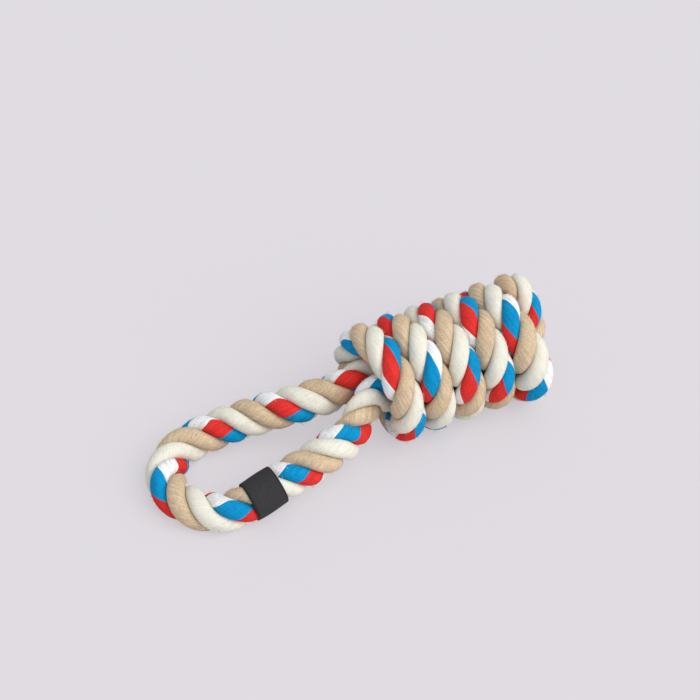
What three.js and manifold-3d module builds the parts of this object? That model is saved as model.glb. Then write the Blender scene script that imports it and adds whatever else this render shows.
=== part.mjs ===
// A rope dog toy: one length of three-strand laid cotton rope, turned into a hand loop.
// Both ends of the loop run into a knot, where the rope winds back over its own two legs.
// Millimetres, +Z up. X runs along the knot, away from the loop, and the toy lies on Z = 0.
import * as THREE from 'three';
import Module from 'manifold-3d';

// Rope
const ROPE_RADIUS = 10; // the rope in the open loop
const WRAP_RADIUS = 8.9; // the same rope, drawn tight in the knot
const FRONT_LAY = 36; // length of one full turn of a strand in the loop's front leg
const BEND_LAY = 43.5; // the same round the loop's bend, which opens the lay
const BACK_LAY = 38.9; // in the back leg
const KNOT_LAY = 41.6; // in the knot
const FAR_LAY = 36.2; // in the last half wrap and the turn into the core, which twist it tighter
const CORE_LAY = 39; // and inside the winding
const LAY_START = 86; // degrees that the first strand is turned at the rope's first end
const STRAND_GAP = 0.45; // between two strands of the rope, at the loop's size
const CUT_GAP = 0.3; // between two lengths of one strand that meet end to end
const STEPS_PER_LAY = 10;

// Knot
const CORE_RADIUS = 16.4; // the two legs squeezed together inside the winding
const FIT_GAP = 0.2; // between the legs and the winding
const WRAPS = 5; // full wraps that show along the knot
const WRAP_GAP = 0.6; // between one wrap and the next
const TAIL_TURN = 1.25 * Math.PI; // how far the winding runs past the first wrap's front
const DIVE_TURN = THREE.MathUtils.degToRad(200); // where the last wrap leaves the winding
const DIVE_SWING = 25; // how far the last wrap swings on before it turns into the core
const DIVE_REACH = 18.6; // how far it reaches out past the core's end
const DIVE_PINCH = 1.7; // the rope is that much thinner in the middle of the dive
const LAST_SWELL = 1.8; // how much the last wrap swells in front, where no wrap follows
const MOUTH_X = -14; // where the legs enter the winding
const FAR_X = 78; // where the last wrap becomes the back leg
const CORE_TWIST = THREE.MathUtils.degToRad(-190); // how far the legs turn round each other
const FIRST_END_X = 70; // where the front leg ends inside the winding
const FLAT_DEPTH = 2; // rope pressed flat where it lies

// Necks, where the legs widen from the squeezed core to the free loop
const NECK_IN_X = -22;
const NECK_OUT_X = -58;
const SQUEEZE_FULL_X = -20;
const SQUEEZE_NONE_X = -42;
const NECK_GAP = 1; // between the two legs in the neck
const FRONT_SPREAD = 8.5; // how much further out the front leg leaves the knot
const BEND_X = -100; // where the legs turn into the loop's bend

// Ends
const WHIP_LENGTH = 10;
const WHIP_TURNS = 5;
const WHIP_THREAD = 0.5; // thread radius
const WHIP_DRAW = 0.8; // share of the rope's radius that the whipping leaves
const WHIP_CLEAR = 0.3;

// Label
const LABEL_LENGTH = 18;
const LABEL_PLACE = 169; // its middle, measured along the rope from the first end
const LABEL_CLEAR = 0.3;
const LABEL_THICKNESS = 0.8;
const LABEL_SIDES = 20;
const LABEL_STEPS = 4;
const SEAM_SIDE = THREE.MathUtils.degToRad(205); // round the band, from its top
const SEAM_STITCHES = 6;
const SEAM_WIDTH = 2;
const SEAM_THREAD = 0.35;
const SEAM_INSET = 1.5;

// What follows from those sizes
const TAU = 2 * Math.PI;
const COIL_RADIUS = CORE_RADIUS + FIT_GAP + WRAP_RADIUS;
const PITCH = 2 * WRAP_RADIUS + WRAP_GAP;
const AXIS_Z = COIL_RADIUS + WRAP_RADIUS - FLAT_DEPTH;
const LOW_Z = ROPE_RADIUS - FLAT_DEPTH;
const LEG_OFFSET = 0.47 * CORE_RADIUS;
const LEG_HALF_WIDTH = 0.45 * CORE_RADIUS;
const LEG_HALF_HEIGHT = 0.81 * CORE_RADIUS;
const FAR_TURN = TAU * (WRAPS - 1) + Math.PI / 4; // where the last half wrap starts
const SWELL_START = TAU * (WRAPS - 1) - THREE.MathUtils.degToRad(80); // and where its swelling starts
const NECK_Y = (LEG_HALF_WIDTH + ROPE_RADIUS) / 2 + NECK_GAP / 2;

const SAMPLE = 0.5;
const CORE_STEPS = 6;
const FRONT = -1;
const BACK = 1;
const { clamp, lerp, smoothstep } = THREE.MathUtils;

// The middle of the loop, from the front neck round to the back neck, as it lies in the hand's reach.
const LOOP_POINTS = [
  [-30, -NECK_Y - FRONT_SPREAD, AXIS_Z - 9.8],
  [-43, -23, 22.6],
  [-59, -25.5, 18.9],
  [-79.5, -27.3, 14.6],
  [-98, -29.8, LOW_Z + 3.4],
  [-112.5, -26.2, LOW_Z + 0.2],
  [-124, -14.6, LOW_Z],
  [-129, 1.5, LOW_Z],
  [-123.8, 15.6, LOW_Z + 0.2],
  [-109, 25, LOW_Z + 1],
  [-88, 24.8, 13.2],
  [-66, 18.5, 19.8],
  [-45, 10.7, 26.8],
  [-30, NECK_Y, AXIS_Z - 4.6],
];

// The two legs lie about half a turn round each other inside the winding.
function coreTurn(x) {
  return CORE_TWIST * smoothstep(x, MOUTH_X, FAR_X);
}

function corePoint(x, side) {
  const turn = coreTurn(x);
  const y = side * LEG_OFFSET * Math.cos(turn);
  const z = AXIS_Z + side * LEG_OFFSET * Math.sin(turn);
  return new THREE.Vector3(x, y, z);
}

// How much the last wrap is swollen, over half a turn.
function lastSwell(turn) {
  const share = clamp((turn - SWELL_START) / Math.PI, 0, 1);
  return LAST_SWELL * Math.sin(Math.PI * share) ** 2;
}

// A right-handed winding: it starts at the front and goes down there as it goes along the knot.
function coilPoint(turn) {
  const swell = lastSwell(turn);
  const x = (PITCH * turn) / TAU + swell;
  const radius = COIL_RADIUS + swell;
  return new THREE.Vector3(x, -radius * Math.cos(turn), AXIS_Z - radius * Math.sin(turn));
}

function coilDirection(turn) {
  const along = PITCH / TAU;
  return new THREE.Vector3(along, COIL_RADIUS * Math.sin(turn), -COIL_RADIUS * Math.cos(turn)).normalize();
}

function legLay({ x, y }) {
  if (x > MOUTH_X) {
    return CORE_LAY;
  }
  if (x < BEND_X) {
    return BEND_LAY;
  }
  return y < 0 ? FRONT_LAY : BACK_LAY;
}

// The rope's middle line from its first end, inside the knot, to its tail, with what each point needs:
// the rope's radius there, how far it is squeezed into the core, and the length of its lay.
function ropeRoute() {
  const leg = (to, side) =>
    Array.from({ length: CORE_STEPS + 1 }, (_, i) => corePoint(lerp(MOUTH_X, to, i / CORE_STEPS), side));
  const legs = new THREE.CatmullRomCurve3(
    [
      ...leg(FIRST_END_X, FRONT).toReversed(),
      ...LOOP_POINTS.map((point) => new THREE.Vector3(...point)),
      ...leg(FAR_X, BACK),
    ],
    false,
    'catmullrom',
    0.5,
  );
  const lastTurn = TAU * (WRAPS - 1) + DIVE_TURN;
  const core = corePoint(FAR_X, BACK);
  const outward = new THREE.Vector3(DIVE_REACH, 0, 0);
  const swing = coilDirection(lastTurn).multiplyScalar(DIVE_SWING);
  const top = coilPoint(lastTurn);
  const dive = new THREE.CubicBezierCurve3(core, core.clone().add(outward), top.clone().add(swing), top);

  const points = [];
  const add = (position, share, lay) => points.push({ position, lay, ...share });
  const legSamples = Math.ceil(legs.getLength() / SAMPLE);
  legs.getSpacedPoints(legSamples).forEach((position) => {
    const squeeze = smoothstep(position.x, SQUEEZE_NONE_X, SQUEEZE_FULL_X);
    add(position, { radius: ROPE_RADIUS, squeeze }, legLay(position));
  });
  const diveSamples = Math.ceil(dive.getLength() / SAMPLE);
  dive.getSpacedPoints(diveSamples).slice(1).forEach((position, i) => {
    const share = (i + 1) / diveSamples;
    const radius = lerp(ROPE_RADIUS, WRAP_RADIUS, smoothstep(share, 0, 0.4)) - DIVE_PINCH * Math.sin(Math.PI * share);
    add(position, { radius, squeeze: 1 - smoothstep(share, 0, 0.35) }, FAR_LAY);
  });
  const turns = lastTurn + TAIL_TURN;
  const coilSamples = Math.ceil((turns * Math.hypot(COIL_RADIUS, PITCH / TAU)) / SAMPLE);
  for (let i = 1; i <= coilSamples; i += 1) {
    const turn = lastTurn - (turns * i) / coilSamples;
    const radius = WRAP_RADIUS + lastSwell(turn);
    add(coilPoint(turn), { radius, squeeze: 0 }, turn > FAR_TURN ? FAR_LAY : KNOT_LAY);
  }
  return measured(points);
}

// Adds the distance along the rope, a frame that doesn't twist, and the turn of the lay.
function measured(points) {
  points.forEach((point, i) => {
    const before = points[Math.max(i - 1, 0)];
    const after = points[Math.min(i + 1, points.length - 1)];
    const step = i === 0 ? 0 : point.position.distanceTo(before.position);
    point.along = i === 0 ? 0 : before.along + step;
    point.turn = i === 0 ? THREE.MathUtils.degToRad(LAY_START) : before.turn + (TAU * step) / point.lay;
    point.tangent = after.position.clone().sub(before.position).normalize();
    const up = i === 0 ? new THREE.Vector3(0, 0, 1) : before.normal.clone();
    point.normal = up.addScaledVector(point.tangent, -up.dot(point.tangent)).normalize();
    point.binormal = point.tangent.clone().cross(point.normal);
  });
  const length = points.at(-1).along;
  points.forEach((point) => {
    const toEnd = Math.min(point.along, length - point.along);
    point.radius *= lerp(WHIP_DRAW, 1, smoothstep(toEnd, WHIP_LENGTH, 2 * WHIP_LENGTH));
  });
  return points;
}

const route = ropeRoute();
const ROPE_LENGTH = route.at(-1).along;

function routeAt(along) {
  const index = route.findIndex((point) => point.along >= along);
  return route[index < 0 ? route.length - 1 : index];
}

// A point of the rope's cross-section, given in the rope's own plane, squeezed where the rope is.
function sectionPoint(place, x, y) {
  const offset = place.normal.clone().multiplyScalar(x).addScaledVector(place.binormal, y);
  const turn = coreTurn(place.position.x);
  const across = new THREE.Vector3(0, Math.cos(turn), Math.sin(turn));
  const upright = new THREE.Vector3(0, -Math.sin(turn), Math.cos(turn));
  const narrow = place.squeeze * (LEG_HALF_WIDTH / ROPE_RADIUS - 1) * offset.dot(across);
  const tall = place.squeeze * (LEG_HALF_HEIGHT / ROPE_RADIUS - 1) * offset.dot(upright);
  return offset.addScaledVector(across, narrow).addScaledVector(upright, tall).add(place.position);
}

// One strand fills a third of the rope: a rounded wedge with its tip at the rope's middle.
const WEDGE = Math.tan(Math.PI / 3);
const HIP = 0.36;
function strandOutline(radius) {
  const gap = (STRAND_GAP * radius) / ROPE_RADIUS;
  const hip = HIP * radius;
  const half = hip * WEDGE - gap;
  return [
    [radius, 0],
    [0.8 * radius, 0.44 * radius],
    [hip, half],
    [0.08 * radius, 0],
    [hip, -half],
    [0.8 * radius, -0.44 * radius],
  ];
}

// Closes a row of rings into a solid. A patch from one of the inner corners is split along the
// diagonal that lies deeper, so that twisted neighbours never bulge into each other, and any other
// patch along the one that stands out.
const STRAND_INNER = [2, 3];
function skin(rings, inner = []) {
  const sides = rings[0].length;
  const middles = rings.map((ring) => ring.reduce((sum, p) => sum.add(p), new THREE.Vector3()).divideScalar(sides));
  const corners = [];
  const face = (...points) => points.forEach((p) => corners.push(p.x, p.y, p.z));
  for (let i = 0; i + 1 < rings.length; i += 1) {
    const centre = middles[i].clone().lerp(middles[i + 1], 0.5);
    for (let k = 0; k < sides; k += 1) {
      const next = (k + 1) % sides;
      const [a, b, c, d] = [rings[i][k], rings[i][next], rings[i + 1][next], rings[i + 1][k]];
      const first = a.clone().lerp(c, 0.5).distanceTo(centre);
      const second = b.clone().lerp(d, 0.5).distanceTo(centre);
      if (first < second === inner.includes(k)) {
        face(a, b, c);
        face(a, c, d);
      } else {
        face(a, b, d);
        face(b, c, d);
      }
    }
  }
  const [head, tail] = [rings[0], rings.at(-1)];
  for (let k = 1; k + 1 < sides; k += 1) {
    face(head[0], head[k + 1], head[k]);
    face(tail[0], tail[k], tail[k + 1]);
  }
  return fromCorners(corners);
}

function fromCorners(corners) {
  const geometry = new THREE.BufferGeometry();
  geometry.setAttribute('position', new THREE.Float32BufferAttribute(corners, 3));
  geometry.computeVertexNormals();
  return geometry;
}

function strandRings(slot, from, to) {
  const lay = routeAt((from + to) / 2).lay;
  const steps = Math.ceil(((to - from) / lay) * STEPS_PER_LAY);
  return Array.from({ length: steps + 1 }, (_, i) => {
    const place = routeAt(lerp(from, to, i / steps));
    const turn = place.turn + (slot * TAU) / 3;
    return strandOutline(place.radius).map(([out, side]) => {
      const x = out * Math.cos(turn) - side * Math.sin(turn);
      const y = out * Math.sin(turn) + side * Math.cos(turn);
      return sectionPoint(place, x, y);
    });
  });
}

// A round thread along a list of points.
function thread(points, radius, sides) {
  const rings = points.map((point, i) => {
    const before = points[Math.max(i - 1, 0)];
    const after = points[Math.min(i + 1, points.length - 1)];
    const tangent = after.clone().sub(before).normalize();
    const side = new THREE.Vector3(0, 0, 1).cross(tangent).normalize();
    const up = tangent.clone().cross(side);
    return Array.from({ length: sides }, (_, k) => {
      const angle = (TAU * k) / sides;
      const offset = side.clone().multiplyScalar(radius * Math.cos(angle));
      return offset.addScaledVector(up, radius * Math.sin(angle)).add(point);
    });
  });
  return skin(rings);
}

// Whipping: thread wound round the rope's drawn-in end, one unbroken helix.
const WHIP_STEPS_PER_TURN = 14;
const WHIP_SIDES = 5;
const WHIP_EDGE = 1.5;
function whippingPoints(from, to) {
  const steps = WHIP_TURNS * WHIP_STEPS_PER_TURN;
  return Array.from({ length: steps + 1 }, (_, i) => {
    const place = routeAt(lerp(from, to, i / steps));
    const angle = (TAU * i) / WHIP_STEPS_PER_TURN;
    const reach = place.radius + (WHIP_CLEAR + WHIP_THREAD) / Math.cos(Math.PI / WHIP_STEPS_PER_TURN);
    return sectionPoint(place, reach * Math.cos(angle), reach * Math.sin(angle));
  });
}

// Label: a woven band closed round the rope, and the thread that closes it.
function labelBand() {
  const inner = ROPE_RADIUS + LABEL_CLEAR;
  const outer = inner + LABEL_THICKNESS;
  const ring = (place, radius) =>
    Array.from({ length: LABEL_SIDES }, (_, k) => {
      const angle = (TAU * k) / LABEL_SIDES;
      const reach = radius / Math.cos(Math.PI / LABEL_SIDES);
      return sectionPoint(place, reach * Math.cos(angle), reach * Math.sin(angle));
    });
  const places = Array.from({ length: LABEL_STEPS + 1 }, (_, i) =>
    routeAt(LABEL_PLACE + LABEL_LENGTH * (i / LABEL_STEPS - 0.5)),
  );
  const loop = [...places.map((p) => ring(p, outer)), ...places.toReversed().map((p) => ring(p, inner))];
  const corners = [];
  const face = (...points) => points.forEach((p) => corners.push(p.x, p.y, p.z));
  loop.forEach((rim, i) => {
    const following = loop[(i + 1) % loop.length];
    rim.forEach((a, k) => {
      const next = (k + 1) % LABEL_SIDES;
      face(a, rim[next], following[next]);
      face(a, following[next], following[k]);
    });
  });
  return fromCorners(corners);
}

function seamPoints() {
  const reach = (ROPE_RADIUS + LABEL_CLEAR + LABEL_THICKNESS) / Math.cos(Math.PI / LABEL_SIDES);
  const height = reach + CUT_GAP + SEAM_THREAD;
  const half = LABEL_LENGTH / 2 - SEAM_INSET;
  const count = 2 * SEAM_STITCHES;
  return Array.from({ length: count + 1 }, (_, i) => {
    const place = routeAt(LABEL_PLACE + lerp(-half, half, i / count));
    const angle = SEAM_SIDE + ((i % 2 ? 1 : -1) * SEAM_WIDTH) / 2 / height;
    return sectionPoint(place, height * Math.cos(angle), height * Math.sin(angle));
  });
}

// Cutting with the surface that the toy lies on
const wasm = await Module();
wasm.setup();

function solidOf(geometry) {
  const position = geometry.getAttribute('position');
  const seen = new Map();
  const vertProperties = [];
  const triVerts = [];
  for (let i = 0; i < position.count; i += 1) {
    const p = [position.getX(i), position.getY(i), position.getZ(i)];
    const key = p.map((value) => value.toFixed(4)).join(' ');
    if (!seen.has(key)) {
      seen.set(key, seen.size);
      vertProperties.push(...p);
    }
    triVerts.push(seen.get(key));
  }
  const arrays = {
    numProp: 3,
    vertProperties: new Float32Array(vertProperties),
    triVerts: new Uint32Array(triVerts),
  };
  return new wasm.Manifold(new wasm.Mesh(arrays));
}

const FLOOR_SIZE = 1000;
const floorBlock = new THREE.BoxGeometry(FLOOR_SIZE, FLOOR_SIZE, FLOOR_SIZE).toNonIndexed();
floorBlock.translate(0, 0, -FLOOR_SIZE / 2);
const floorSolid = solidOf(floorBlock);

function pressedFlat(geometry) {
  const { numProp, vertProperties, triVerts } = solidOf(geometry).subtract(floorSolid).getMesh();
  const corners = [];
  triVerts.forEach((vertex) => {
    corners.push(...vertProperties.slice(vertex * numProp, vertex * numProp + 3));
  });
  return fromCorners(corners);
}

// The pieces
const toy = new THREE.Group();
const shift = new THREE.Group();
toy.add(shift);

function addPiece(name, geometry, color, roughness = 0.95) {
  const material = new THREE.MeshStandardMaterial({ color, roughness, metalness: 0 });
  const mesh = new THREE.Mesh(geometry, material);
  mesh.name = name;
  shift.add(mesh);
}

const STRANDS = [
  { name: 'beige', slot: 0, color: 0xb59b7b },
  { name: 'cream', slot: 1, color: 0xe6dcc3 },
  { name: 'tricolour', slot: 2, color: 0xc9322f },
];

// Where the rope's lengths meet, measured along it.
const middle = route.findIndex((point) => point.position.x <= LOOP_POINTS[7][0] + SAMPLE);
const crossing = (x, first, last, way) => {
  const found = route.slice(first, last).find((point) => way * (point.position.x - x) >= 0);
  return found.along;
};
const frontIn = crossing(NECK_IN_X, 0, middle, -1);
const frontOut = crossing(NECK_OUT_X, 0, middle, -1);
const backOut = crossing(NECK_OUT_X, middle, route.length, 1);
const backIn = crossing(NECK_IN_X, middle, route.length, 1);
const HALF_CUT = CUT_GAP / 2;
const LENGTHS = [
  { name: 'core', from: 0, to: frontIn - HALF_CUT },
  { name: 'front_neck', from: frontIn + HALF_CUT, to: frontOut - HALF_CUT },
  { name: 'loop', from: frontOut + HALF_CUT, to: backOut - HALF_CUT },
  { name: 'back_neck', from: backOut + HALF_CUT, to: backIn - HALF_CUT },
  { name: 'knot', from: backIn + HALF_CUT, to: ROPE_LENGTH },
];
LENGTHS.forEach(({ name, from, to }) => {
  STRANDS.forEach((strand) => {
    const plain = skin(strandRings(strand.slot, from, to), STRAND_INNER);
    const lies = name === 'loop' || name === 'knot';
    addPiece(`${name}_${strand.name}_strand`, lies ? pressedFlat(plain) : plain, strand.color);
  });
});

const WHIP_COLOR = 0xd9cfb8;
const whippings = {
  core_whipping: whippingPoints(WHIP_EDGE, WHIP_LENGTH - WHIP_EDGE),
  tail_whipping: whippingPoints(ROPE_LENGTH - WHIP_LENGTH + WHIP_EDGE, ROPE_LENGTH - WHIP_EDGE),
};
Object.entries(whippings).forEach(([name, points]) => {
  addPiece(name, thread(points, WHIP_THREAD, WHIP_SIDES), WHIP_COLOR);
});
addPiece('label_band', labelBand(), 0x17171a, 0.8);
addPiece('label_seam_thread', thread(seamPoints(), SEAM_THREAD, WHIP_SIDES), 0x222226, 0.8);

// The winding's least gap to itself, between points at least most of a wrap apart.
function leastWindingGap() {
  const winding = route.filter((point) => point.along > backIn && point.squeeze === 0);
  const apart = 0.8 * TAU * COIL_RADIUS;
  let least = Infinity;
  for (let i = 0; i < winding.length; i += 4) {
    for (let j = i; j < winding.length; j += 2) {
      const [a, b] = [winding[i], winding[j]];
      if (b.along - a.along > apart) {
        least = Math.min(least, a.position.distanceTo(b.position) - a.radius - b.radius);
      }
    }
  }
  return least;
}

// The origin: under the middle of the toy, on the surface that it lies on.
const box = new THREE.Box3().setFromObject(shift);
const centre = box.getCenter(new THREE.Vector3());
shift.position.set(-centre.x, -centre.y, 0);
console.log(`rope length ${ROPE_LENGTH.toFixed(1)} mm`);
console.log(`least gap of the winding to itself ${leastWindingGap().toFixed(2)} mm`);
console.log(`origin shift ${shift.position.toArray().map((value) => value.toFixed(3))}`);

export default toy;
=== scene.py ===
# %% [markdown]
# # A rope dog toy
# One length of thick cotton rope makes the whole toy: a hand loop, and a knot where the rope winds back
# over its own two legs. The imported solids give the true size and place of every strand. This lesson
# dresses them: it lays three soft strands along the same route and gives each one its yarn.

# %% Load the frame
import math

import bpy
import numpy as np
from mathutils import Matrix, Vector


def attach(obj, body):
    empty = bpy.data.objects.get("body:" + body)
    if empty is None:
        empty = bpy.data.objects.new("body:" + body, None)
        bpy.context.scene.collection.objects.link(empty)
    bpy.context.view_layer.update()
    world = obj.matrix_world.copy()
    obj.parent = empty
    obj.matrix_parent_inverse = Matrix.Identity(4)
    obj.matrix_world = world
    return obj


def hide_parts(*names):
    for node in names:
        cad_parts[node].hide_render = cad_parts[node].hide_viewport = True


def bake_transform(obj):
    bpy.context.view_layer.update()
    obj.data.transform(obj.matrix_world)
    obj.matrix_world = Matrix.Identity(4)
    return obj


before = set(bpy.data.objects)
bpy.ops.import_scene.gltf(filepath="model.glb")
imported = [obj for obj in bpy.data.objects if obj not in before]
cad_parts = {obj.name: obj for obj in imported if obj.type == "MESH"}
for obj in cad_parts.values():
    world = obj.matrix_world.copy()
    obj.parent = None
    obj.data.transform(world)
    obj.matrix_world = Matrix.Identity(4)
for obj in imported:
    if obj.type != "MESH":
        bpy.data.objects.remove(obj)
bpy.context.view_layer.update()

# %% [markdown]
# ## The camera
# The toy is seen from above and from its front left corner, through a long lens, so that the loop lies
# towards us on the left and the knot points away on the right. A long lens far off keeps the wraps of
# the knot nearly the same size from end to end.

# %% Camera
MM = 0.001
CAMERA_TURN = math.radians(26)
CAMERA_HEIGHT = math.radians(45)
CAMERA_DISTANCE = 1050 * MM
CAMERA_AIM = Vector((7.1, 18.95, 48.0)) * MM
LENS = 99.9
SENSOR_WIDTH = 36


def placed(name, data):
    made = bpy.data.objects.new(name, data)
    bpy.context.scene.collection.objects.link(made)
    return made


level = math.cos(CAMERA_HEIGHT)
looks = Vector((math.sin(CAMERA_TURN) * level, math.cos(CAMERA_TURN) * level, -math.sin(CAMERA_HEIGHT)))
camera_data = bpy.data.cameras.new("camera")
camera_data.lens = LENS
camera_data.sensor_width = SENSOR_WIDTH
camera = placed("camera", camera_data)
camera.location = CAMERA_AIM - looks * CAMERA_DISTANCE
camera.rotation_euler = looks.to_track_quat("-Z", "Y").to_euler()
bpy.context.scene.camera = camera
print("camera at", [round(x, 3) for x in camera.location])

# %% [markdown]
# ## The rope's route
# Everything on this toy follows one line, the middle of the rope. It starts inside the knot, runs out
# along the front leg, round the loop and back in, turns over at the far end and winds home in wraps.
# The line is worked out here with the same formulas and listed points as the solids, in millimetres.
# A lay is the length of rope in which the strands go round once. It differs from leg to leg, because a
# rope that is pulled into a knot tightens in one place and loosens in another.

# %% Sizes of the rope
ROPE_RADIUS = 10
WRAP_RADIUS = 8.9
FRONT_LAY = 36
BEND_LAY = 43.5
BACK_LAY = 38.9
KNOT_LAY = 41.6
FAR_LAY = 36.2
CORE_LAY = 39
LAY_START = 86 / 360
WHIP_LENGTH = 10
WHIP_DRAW = 0.8
FLAT_DEPTH = 2
LOW_Z = ROPE_RADIUS - FLAT_DEPTH
print("rope", 2 * ROPE_RADIUS, "mm thick in the loop and", 2 * WRAP_RADIUS, "mm in the winding")

# %% Sizes of the knot
TAU = 2 * math.pi
CORE_RADIUS = 16.4
FIT_GAP = 0.2
WRAPS = 5
WRAP_GAP = 0.6
TAIL_TURN = 1.25 * math.pi
DIVE_TURN = math.radians(200)
DIVE_SWING = 25
DIVE_REACH = 18.6
DIVE_PINCH = 1.7
LAST_SWELL = 1.8
MOUTH_X = -14
FAR_X = 78
FIRST_END_X = 70
CORE_TWIST = math.radians(-190)
COIL_RADIUS = CORE_RADIUS + FIT_GAP + WRAP_RADIUS
PITCH = 2 * WRAP_RADIUS + WRAP_GAP
AXIS_Z = COIL_RADIUS + WRAP_RADIUS - FLAT_DEPTH
LEG_OFFSET = 0.47 * CORE_RADIUS
LEG_HALF_WIDTH = 0.45 * CORE_RADIUS
LEG_HALF_HEIGHT = 0.81 * CORE_RADIUS
FAR_TURN = TAU * (WRAPS - 1) + math.pi / 4
SWELL_START = TAU * (WRAPS - 1) - math.radians(80)
print(f"winding radius {COIL_RADIUS:.1f} mm, pitch {PITCH:.1f} mm, knot axis at {AXIS_Z:.1f} mm")

# %% Points of the loop
BEND_X = -100
SQUEEZE_FULL_X = -20
SQUEEZE_NONE_X = -42
FRONT_SPREAD = 8.5
NECK_EASE = 0.5
NECK_Y = (LEG_HALF_WIDTH + ROPE_RADIUS) / 2 + NECK_EASE
LOOP_POINTS = [
    (-30, -NECK_Y - FRONT_SPREAD, AXIS_Z - 9.8),
    (-43, -23, 22.6),
    (-59, -25.5, 18.9),
    (-79.5, -27.3, 14.6),
    (-98, -29.8, LOW_Z + 3.4),
    (-112.5, -26.2, LOW_Z + 0.2),
    (-124, -14.6, LOW_Z),
    (-129, 1.5, LOW_Z),
    (-123.8, 15.6, LOW_Z + 0.2),
    (-109, 25, LOW_Z + 1),
    (-88, 24.8, 13.2),
    (-66, 18.5, 19.8),
    (-45, 10.7, 26.8),
    (-30, NECK_Y, AXIS_Z - 4.6),
]
print("loop:", len(LOOP_POINTS), "hand points")


# %% The pieces of the route
FRONT, BACK = -1, 1
WINDING_POINTS = 4000


def smoothstep(x, low, high):
    t = np.clip((x - low) / (high - low), 0, 1)
    return t * t * (3 - 2 * t)


def core_turn(x):
    return CORE_TWIST * smoothstep(np.asarray(x, float), MOUTH_X, FAR_X)


def core_leg(to, side, steps=6):
    x = np.linspace(MOUTH_X, to, steps + 1)
    turn = core_turn(x)
    y = side * LEG_OFFSET * np.cos(turn)
    return np.stack([x, y, AXIS_Z + side * LEG_OFFSET * np.sin(turn)], 1)


def last_swell(turn):
    share = np.clip((turn - SWELL_START) / math.pi, 0, 1)
    return LAST_SWELL * np.sin(math.pi * share) ** 2


def coil(turn):
    swell = last_swell(turn)
    across = COIL_RADIUS + swell
    x = PITCH * turn / TAU + swell
    return np.stack([x, -across * np.cos(turn), AXIS_Z - across * np.sin(turn)], -1)


def smooth_line(points, per=60):
    """A curve through all the points, with a number of steps from each to the next."""
    ends = [2 * points[0] - points[1]], [2 * points[-1] - points[-2]]
    p = np.concatenate([ends[0], points, ends[1]])
    t = np.linspace(0, 1, per, endpoint=False)[:, None]
    parts = []
    for a, b, c, d in zip(p, p[1:], p[2:], p[3:]):
        bend = (2 * a - 5 * b + 4 * c - d) * t**2 + (3 * b - a - 3 * c + d) * t**3
        parts.append(0.5 * (2 * b + (c - a) * t + bend))
    return np.concatenate([*parts, p[-2:-1]])


def dive_line(start, end, leaving, arriving, steps=300):
    t = np.linspace(0, 1, steps)[1:, None]
    inner = 3 * (1 - t) ** 2 * t * (start + leaving) + 3 * (1 - t) * t**2 * (end + arriving)
    return (1 - t) ** 3 * start + inner + t**3 * end


front_leg = core_leg(FIRST_END_X, FRONT)[::-1]
legs = smooth_line(np.concatenate([front_leg, LOOP_POINTS, core_leg(FAR_X, BACK)]))
last_turn = TAU * (WRAPS - 1) + DIVE_TURN
heading = np.array([PITCH / TAU, COIL_RADIUS * math.sin(last_turn), -COIL_RADIUS * math.cos(last_turn)])
heading *= DIVE_SWING / np.linalg.norm(heading)
dive = dive_line(legs[-1], coil(np.float64(last_turn)), np.array([DIVE_REACH, 0, 0]), heading)
winding_turn = np.linspace(last_turn, -TAIL_TURN, WINDING_POINTS)[1:]
winding = coil(winding_turn)
print("route:", len(legs), "points in the legs,", len(dive), "in the dive,", len(winding), "in the wraps")

# %% [markdown]
# ## What the rope carries along its route
# Each point of the route also carries what the strands need there. The rope is squeezed flat where it
# goes into the knot, drawn thin at its whipped ends and gripped by the band. Between those it swells a
# little past the solids, and the wraps swell until they touch. Where it dives into the far end, the soft
# rope also rides up and its lay slips a little. The lay turns the three strands round the middle, and
# the yarns turn inside each strand, twice for every turn of the lay. In a hand-made knot the yarns slip
# besides, so a few marks say how far: each is a place along the rope and a share of a turn.

# %% Swell, slip and marks
WRAP_SWELL = 1.05
LOOP_SWELL = 1.07
LABEL_PLACE = 169
LABEL_LENGTH = 18
LABEL_GRIP = 8
DIVE_LIFT = 4
DIVE_SLIP = 0.06
DIVE_THIN_BY = 0.4
DIVE_ROUND_BY = 0.35
YARN_TURNS = 2
YARN_MARKS = [
    (0, 0.64),
    (116, 0.64),
    (186, 0.70),
    (233, 0.68),
    (280, 0.92),
    (357, 0.91),
    (628, 0.95),
    (757, 0.51),
    (803, 0.48),
    (936, 0.21),
    (968, 0.09),
    (1102, 0.31),
    (1128, 0.12),
    (1227, -0.20),
    (1273, -0.25),
    (1310, -0.58),
]
print("yarns:", len(YARN_MARKS), "marks along the rope")

# %% Values on the pieces of the route
dive_share = np.linspace(0, 1, len(dive) + 1)[1:]
dive_radius = ROPE_RADIUS + (WRAP_RADIUS - ROPE_RADIUS) * smoothstep(dive_share, 0, DIVE_THIN_BY)
dive_radius -= DIVE_PINCH * np.sin(math.pi * dive_share)
dive_radius *= 1 + (WRAP_SWELL - 1) * dive_share
dive_squeeze = 1 - smoothstep(dive_share, 0, DIVE_ROUND_BY)
dive_lift = DIVE_LIFT * np.sin(math.pi * dive_share**2) ** 2
leg_squeeze = smoothstep(legs[:, 0], SQUEEZE_NONE_X, SQUEEZE_FULL_X)
leg_lay = np.where(legs[:, 1] < 0, FRONT_LAY, BACK_LAY)
leg_lay = np.where(legs[:, 0] < BEND_X, BEND_LAY, leg_lay)
leg_lay = np.where(legs[:, 0] > MOUTH_X, CORE_LAY, leg_lay)
winding_radius = (WRAP_RADIUS + last_swell(winding_turn)) * WRAP_SWELL
winding_lay = np.where(winding_turn > FAR_TURN, FAR_LAY, KNOT_LAY)
none_in_legs, none_in_winding = np.zeros(len(legs)), np.zeros(len(winding))
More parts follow.
